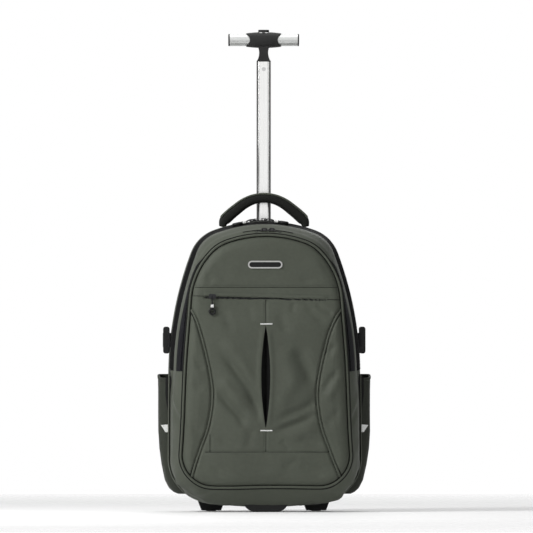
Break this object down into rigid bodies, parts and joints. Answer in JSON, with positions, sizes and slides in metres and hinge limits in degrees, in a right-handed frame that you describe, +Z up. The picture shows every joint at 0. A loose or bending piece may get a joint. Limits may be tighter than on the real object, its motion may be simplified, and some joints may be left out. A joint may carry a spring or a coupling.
{
  "type": "rolling laptop backpack",
  "caption": "Soft rolling laptop backpack with a telescopic pole and T grip, wheels, zipped front section, side pockets, carry handle and shoulder straps.",
  "frame": {"origin": "on the floor, at the middle of the bounding box", "axes": "+X to the right seen from the front, +Y towards the back panel, +Z up"},
  "size_m": [0.372, 0.2238, 0.844],
  "materials": {
    "olive_fabric": "coated",
    "black_webbing": "woven",
    "navy_tape": "woven",
    "black_padding": "padded mesh",
    "grey_lining": "lining",
    "stiffener": "polyethylene board",
    "anodised_aluminium": "satin anodised",
    "black_plastic": "moulded",
    "grey_plastic": "moulded",
    "steel": "zinc plated",
    "zinc_black": "black",
    "badge_silver": "metallised",
    "badge_dark": "plain",
    "reflective": "reflective",
    "wheel_tyre": "polyurethane"
  },
  "bodies": {
    "case": {"rear_shell": "olive_fabric", "frame_sheet": "stiffener", "laptop_sleeve": "grey_lining", "lower_front_shell": "olive_fabric", "lower_divider": "grey_lining", "main_zip_rear_tape": "black_webbing", "reflective_tabs": "reflective", "back_pads": "black_padding", "strap_webbing": "black_webbing", "strap_adjusters": "black_plastic", "webbing_tabs": "black_webbing", "outer_tube": "anodised_aluminium", "tube_collar": "black_plastic", "base_plate": "black_plastic", "base_screws": "steel", "front_foot": "black_plastic", "axles": "steel", "side_pockets": "olive_fabric", "shoulder_strap_left": "black_padding", "shoulder_strap_right": "black_padding", "buckle_sockets": "black_plastic", "wheel_housing_left": "black_plastic", "wheel_housing_right": "black_plastic"},
    "front_section": {"front_gusset": "olive_fabric", "upper_divider": "grey_lining", "main_zip_front_tape": "black_webbing", "front_zip_gusset_tape": "navy_tape"},
    "front_flap": {"front_panel": "olive_fabric", "front_zip_panel_tape": "navy_tape", "pocket_zip": "black_webbing", "badge_frame": "badge_silver", "badge_plate": "badge_dark"},
    "main_slider_left": {"main_slider_left": "zinc_black"},
    "main_slider_right": {"main_slider_right": "zinc_black"},
    "main_pull_left": {"main_pull_left": "black_plastic"},
    "main_pull_right": {"main_pull_right": "black_plastic"},
    "front_slider_left": {"front_slider_left": "zinc_black"},
    "front_slider_right": {"front_slider_right": "zinc_black"},
    "front_pull_left": {"front_pull_left": "black_plastic"},
    "front_pull_right": {"front_pull_right": "black_plastic"},
    "pocket_slider": {"pocket_slider": "zinc_black"},
    "pocket_pull": {"pocket_pull": "black_plastic"},
    "pole": {"inner_tube": "anodised_aluminium", "grip_body": "black_plastic", "grip_bar": "anodised_aluminium", "bar_caps": "black_plastic", "grip_rivet": "steel", "lock_block": "black_plastic"},
    "button": {"button": "black_plastic", "push_rod": "steel"},
    "lock_pin": {"lock_pin": "steel"},
    "wheel_left": {"tyre_left": "wheel_tyre", "hub_left": "grey_plastic", "bearings_left": "steel"},
    "wheel_right": {"tyre_right": "wheel_tyre", "hub_right": "grey_plastic", "bearings_right": "steel"},
    "carry_handle": {"carry_handle": "black_padding"},
    "buckle_left": {"buckle_prong_left": "black_plastic"},
    "buckle_right": {"buckle_prong_right": "black_plastic"}
  },
  "joints": [
    {"name": "front_section_fold", "type": "hinge", "parent": "case", "child": "front_section", "pos_m": [0, -0.0156, 0.24], "axis": [1, 0, 0], "range_deg": [0, 16]},
    {"name": "front_flap_fold", "type": "hinge", "parent": "front_section", "child": "front_flap", "pos_m": [0, -0.104, 0.24], "axis": [1, 0, 0], "range_deg": [0, 25]},
    {"name": "main_slider_left_run", "type": "hinge", "parent": "front_section", "child": "main_slider_left", "pos_m": [0, -0.0156, 0.24973], "axis": [0, -1, 0], "range_deg": [0, 14]},
    {"name": "main_pull_left_swing", "type": "hinge", "parent": "main_slider_left", "child": "main_pull_left", "pos_m": [-0.01502, -0.0156, 0.51057], "axis": [0, 1, 0], "range_deg": [0, 80]},
    {"name": "main_slider_right_run", "type": "hinge", "parent": "front_section", "child": "main_slider_right", "pos_m": [0, -0.0156, 0.24973], "axis": [0, 1, 0], "range_deg": [0, 14]},
    {"name": "main_pull_right_swing", "type": "hinge", "parent": "main_slider_right", "child": "main_pull_right", "pos_m": [-0.00122, -0.0156, 0.511], "axis": [0, -1, 0], "range_deg": [0, 80]},
    {"name": "front_slider_left_run", "type": "hinge", "parent": "front_flap", "child": "front_slider_left", "pos_m": [0, -0.0876, 0.28004], "axis": [0, -1, 0], "range_deg": [0, 14]},
    {"name": "front_pull_left_swing", "type": "hinge", "parent": "front_slider_left", "child": "front_pull_left", "pos_m": [-0.00287, -0.08869, 0.49396], "axis": [-0.0061, 0.8919, 0.4522], "range_deg": [0, 80]},
    {"name": "front_slider_right_run", "type": "hinge", "parent": "front_flap", "child": "front_slider_right", "pos_m": [0, -0.0876, 0.28004], "axis": [0, 1, 0], "range_deg": [0, 14]},
    {"name": "front_pull_right_swing", "type": "hinge", "parent": "front_slider_right", "child": "front_pull_right", "pos_m": [0.01106, -0.08869, 0.49369], "axis": [-0.0234, -0.8919, -0.4517], "range_deg": [0, 80]},
    {"name": "pocket_slider_run", "type": "slide", "parent": "front_flap", "child": "pocket_slider", "axis": [0.9996, 0, -0.0279], "range_m": [0, 0.19]},
    {"name": "pocket_pull_swing", "type": "hinge", "parent": "pocket_slider", "child": "pocket_pull", "pos_m": [-0.094, -0.1094, 0.37663], "axis": [-1, 0, 0], "range_deg": [0, 80]},
    {"name": "pole_slide", "type": "slide", "parent": "case", "child": "pole", "axis": [0, 0, 1], "range_m": [-0.258, 0]},
    {"name": "button_press", "type": "slide", "parent": "pole", "child": "button", "axis": [0, 0, -1], "range_m": [0, 0.0025], "stiffness_N_per_m": 900, "springref_m": -0.002},
    {"name": "lock_pin_retract", "type": "slide", "parent": "pole", "child": "lock_pin", "axis": [0, -1, 0], "range_m": [0, 0.0025]},
    {"name": "wheel_left_spin", "type": "hinge", "parent": "case", "child": "wheel_left", "pos_m": [-0.092, 0.0764, 0.031], "axis": [1, 0, 0], "continuous": true},
    {"name": "buckle_left_release", "type": "slide", "parent": "case", "child": "buckle_left", "axis": [0, 1, 0], "range_m": [0, 0.019]},
    {"name": "wheel_right_spin", "type": "hinge", "parent": "case", "child": "wheel_right", "pos_m": [0.092, 0.0764, 0.031], "axis": [1, 0, 0], "continuous": true},
    {"name": "buckle_right_release", "type": "slide", "parent": "case", "child": "buckle_right", "axis": [0, 1, 0], "range_m": [0, 0.019]},
    {"name": "carry_handle_fold", "type": "hinge", "parent": "case", "child": "carry_handle", "pos_m": [0, 0.0344, 0.503], "axis": [1, 0, 0], "range_deg": [0, 50], "stiffness_Nm_per_rad": 0.12}
  ],
  "couplings": [
    {"joint": "main_slider_left_run", "follows": "front_section_fold", "ratio": 0.875},
    {"joint": "main_slider_right_run", "follows": "front_section_fold", "ratio": 0.875},
    {"joint": "front_slider_left_run", "follows": "front_flap_fold", "ratio": 0.56},
    {"joint": "front_slider_right_run", "follows": "front_flap_fold", "ratio": 0.56},
    {"joint": "lock_pin_retract", "follows": "button_press", "ratio": 1}
  ]
}
